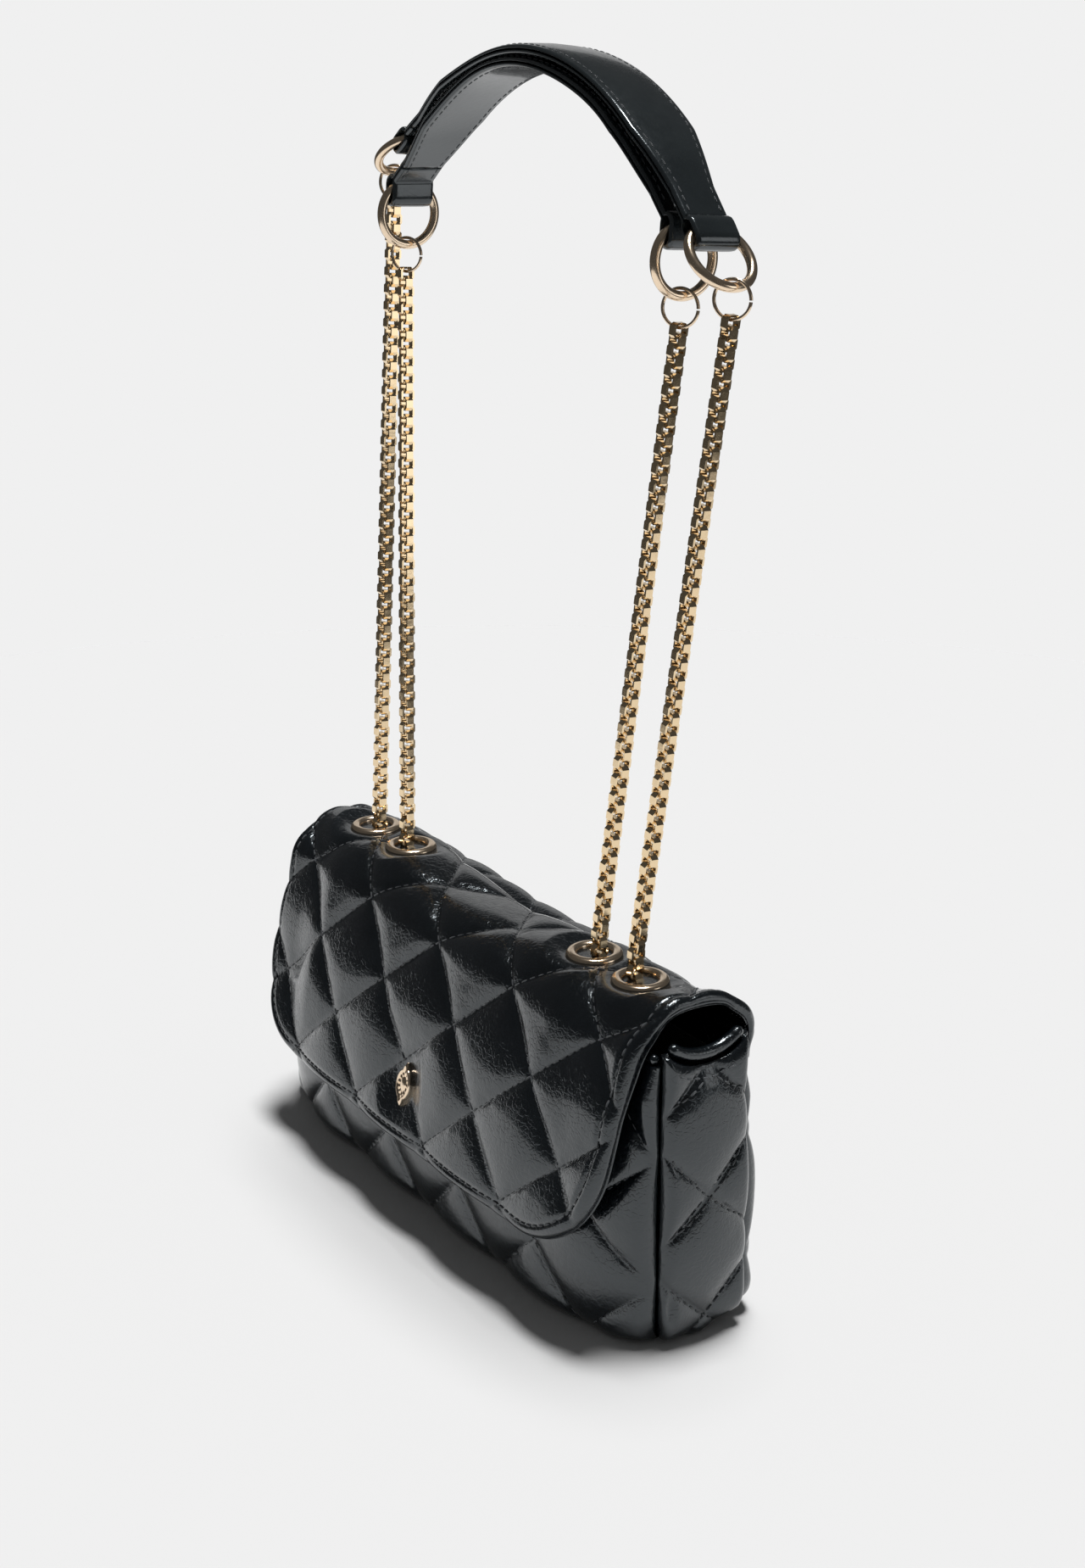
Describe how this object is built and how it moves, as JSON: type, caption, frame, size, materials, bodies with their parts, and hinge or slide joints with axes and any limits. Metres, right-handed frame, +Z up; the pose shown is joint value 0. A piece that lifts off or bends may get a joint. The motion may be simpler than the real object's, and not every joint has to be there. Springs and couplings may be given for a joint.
{
  "type": "chain shoulder bag",
  "caption": "Small quilted flap shoulder bag with two padded shoulder handles on interlocking box chains that run through eyelets in the flap.",
  "frame": {"origin": "middle of the base, on the surface that the bag stands on", "axes": "+X along the bag towards its right end seen from the front, -Y out of the front flap, +Z up towards the raised handles"},
  "size_m": [0.2542, 0.0798, 0.4115],
  "materials": {
    "leather": "glossy crinkled, quilted",
    "lining_cloth": "matte woven cloth",
    "board": "matte",
    "gold_metal": "polished pale gold plating"
  },
  "bodies": {
    "bag": {"front_panel": "leather", "back_panel": "leather", "base_panel": "leather", "gusset_left": "leather", "gusset_right": "leather", "front_hem": "leather", "back_hem": "leather", "gusset_hem_left": "leather", "gusset_hem_right": "leather", "lining": "lining_cloth", "base_board": "board", "flap_tail": "leather", "snap_socket": "gold_metal"},
    "flap": {"flap": "leather", "flap_lining": "leather", "flap_binding": "leather", "eyelet_1": "gold_metal", "eyelet_2": "gold_metal", "eyelet_3": "gold_metal", "eyelet_4": "gold_metal", "eyelet_washer_1": "gold_metal", "eyelet_washer_2": "gold_metal", "eyelet_washer_3": "gold_metal", "eyelet_washer_4": "gold_metal", "snap_stud": "gold_metal", "ornament": "gold_metal", "chain_run_left": "gold_metal", "chain_run_right": "gold_metal"},
    "outer_fold_1": {"outer_fold_links_1": "gold_metal"},
    "outer_fold_2": {"outer_fold_links_2": "gold_metal"},
    "outer_fold_3": {"outer_fold_links_3": "gold_metal"},
    "outer_handle": {"outer_chain_left": "gold_metal", "outer_chain_right": "gold_metal", "outer_pad": "leather", "outer_pad_lining": "leather"},
    "inner_fold_1": {"inner_fold_links_1": "gold_metal"},
    "inner_fold_2": {"inner_fold_links_2": "gold_metal"},
    "inner_fold_3": {"inner_fold_links_3": "gold_metal"},
    "inner_handle": {"inner_chain_left": "gold_metal", "inner_chain_right": "gold_metal", "inner_pad": "leather", "inner_pad_lining": "leather"},
    "outer_left_ring": {"outer_ring_left": "gold_metal"},
    "outer_left_jump_ring": {"outer_jump_ring_left": "gold_metal"},
    "outer_right_ring": {"outer_ring_right": "gold_metal"},
    "outer_right_jump_ring": {"outer_jump_ring_right": "gold_metal"},
    "inner_left_ring": {"inner_ring_left": "gold_metal"},
    "inner_left_jump_ring": {"inner_jump_ring_left": "gold_metal"},
    "inner_right_ring": {"inner_ring_right": "gold_metal"},
    "inner_right_jump_ring": {"inner_jump_ring_right": "gold_metal"}
  },
  "joints": [
    {"name": "flap_hinge", "type": "hinge", "parent": "bag", "child": "flap", "pos_m": [0, 0.0239, 0.103], "axis": [-1, 0, 0], "range_deg": [0, 105]},
    {"name": "outer_fold_joint_1", "type": "hinge", "parent": "flap", "child": "outer_fold_1", "pos_m": [0, -0.003, 0.11785], "axis": [1, 0, 0], "range_deg": [-20, 20]},
    {"name": "outer_fold_joint_2", "type": "hinge", "parent": "outer_fold_1", "child": "outer_fold_2", "pos_m": [0, -0.00295, 0.1209], "axis": [1, 0, 0], "range_deg": [-20, 20]},
    {"name": "outer_fold_joint_3", "type": "hinge", "parent": "outer_fold_2", "child": "outer_fold_3", "pos_m": [0, -0.00284, 0.12395], "axis": [1, 0, 0], "range_deg": [-20, 20]},
    {"name": "outer_fold_joint_4", "type": "hinge", "parent": "outer_fold_3", "child": "outer_handle", "pos_m": [0, -0.00267, 0.12699], "axis": [1, 0, 0], "range_deg": [-20, 20]},
    {"name": "inner_fold_joint_1", "type": "hinge", "parent": "flap", "child": "inner_fold_1", "pos_m": [0, -0.003, 0.11785], "axis": [1, 0, 0], "range_deg": [-20, 20]},
    {"name": "inner_fold_joint_2", "type": "hinge", "parent": "inner_fold_1", "child": "inner_fold_2", "pos_m": [0, -0.00295, 0.1209], "axis": [1, 0, 0], "range_deg": [-20, 20]},
    {"name": "inner_fold_joint_3", "type": "hinge", "parent": "inner_fold_2", "child": "inner_fold_3", "pos_m": [0, -0.00284, 0.12395], "axis": [1, 0, 0], "range_deg": [-20, 20]},
    {"name": "inner_fold_joint_4", "type": "hinge", "parent": "inner_fold_3", "child": "inner_handle", "pos_m": [0, -0.00267, 0.12699], "axis": [1, 0, 0], "range_deg": [-20, 20]},
    {"name": "outer_left_ring_spin", "type": "hinge", "parent": "outer_handle", "child": "outer_left_ring", "pos_m": [-0.08514, 0.01472, 0.36968], "axis": [0.6157, -0.0563, -0.786], "continuous": true},
    {"name": "outer_left_jump_ring_spin", "type": "hinge", "parent": "outer_handle", "child": "outer_left_jump_ring", "pos_m": [-0.09373, 0.01399, 0.35949], "axis": [0.5299, -0.8459, 0.0606], "continuous": true},
    {"name": "outer_right_ring_spin", "type": "hinge", "parent": "outer_handle", "child": "outer_right_ring", "pos_m": [0.10123, 0.01345, 0.35192], "axis": [0.7431, 0.0478, 0.6674], "continuous": true},
    {"name": "outer_right_jump_ring_spin", "type": "hinge", "parent": "outer_handle", "child": "outer_right_jump_ring", "pos_m": [0.10853, 0.01262, 0.34035], "axis": [0.5, -0.8638, 0.0619], "continuous": true},
    {"name": "inner_left_ring_spin", "type": "hinge", "parent": "inner_handle", "child": "inner_left_ring", "pos_m": [-0.08318, 0.01327, 0.34936], "axis": [1, 0, 0], "continuous": true},
    {"name": "inner_left_jump_ring_spin", "type": "hinge", "parent": "inner_handle", "child": "inner_left_jump_ring", "pos_m": [-0.08318, 0.01224, 0.335], "axis": [0.5, -0.8638, 0.0619], "continuous": true},
    {"name": "inner_right_ring_spin", "type": "hinge", "parent": "inner_handle", "child": "inner_right_ring", "pos_m": [0.08318, 0.01327, 0.34936], "axis": [1, 0, 0], "continuous": true},
    {"name": "inner_right_jump_ring_spin", "type": "hinge", "parent": "inner_handle", "child": "inner_right_jump_ring", "pos_m": [0.08318, 0.01224, 0.335], "axis": [0.5, -0.8638, 0.0619], "continuous": true}
  ]
}
